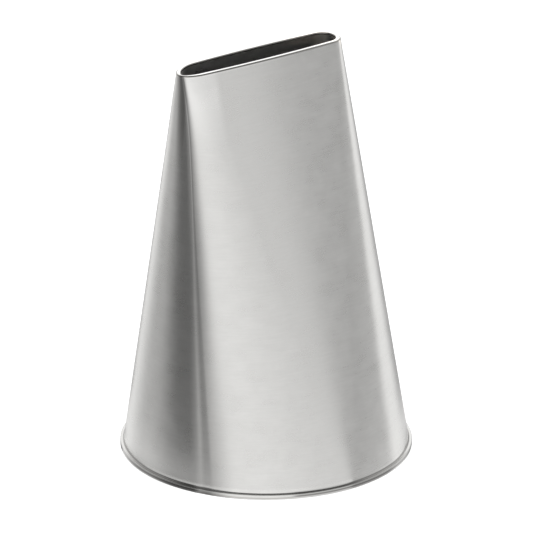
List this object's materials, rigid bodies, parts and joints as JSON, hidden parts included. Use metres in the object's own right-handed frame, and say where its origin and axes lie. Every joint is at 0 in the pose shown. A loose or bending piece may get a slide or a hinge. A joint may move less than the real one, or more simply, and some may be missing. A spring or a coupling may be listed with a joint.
{
  "type": "piping nozzle",
  "caption": "Petal piping nozzle of brushed stainless sheet: a cone pressed to a long narrow slot at the mouth, with a turned-out lip at the base and a straight welded seam.",
  "frame": {"origin": "middle of the base plane, which is the lip's underside", "axes": "+Z from the base to the mouth, X along the slot, the welded seam on the -X end turned towards the -Y side"},
  "size_m": [0.0175, 0.0174, 0.0249],
  "materials": {
    "sheet_steel": "satin, brushed around the cone",
    "weld_steel": "weld bead ground flush and brushed with the sheet"
  },
  "bodies": {
    "root": {"tip_body": "sheet_steel", "seam_weld": "weld_steel"}
  },
  "joints": []
}
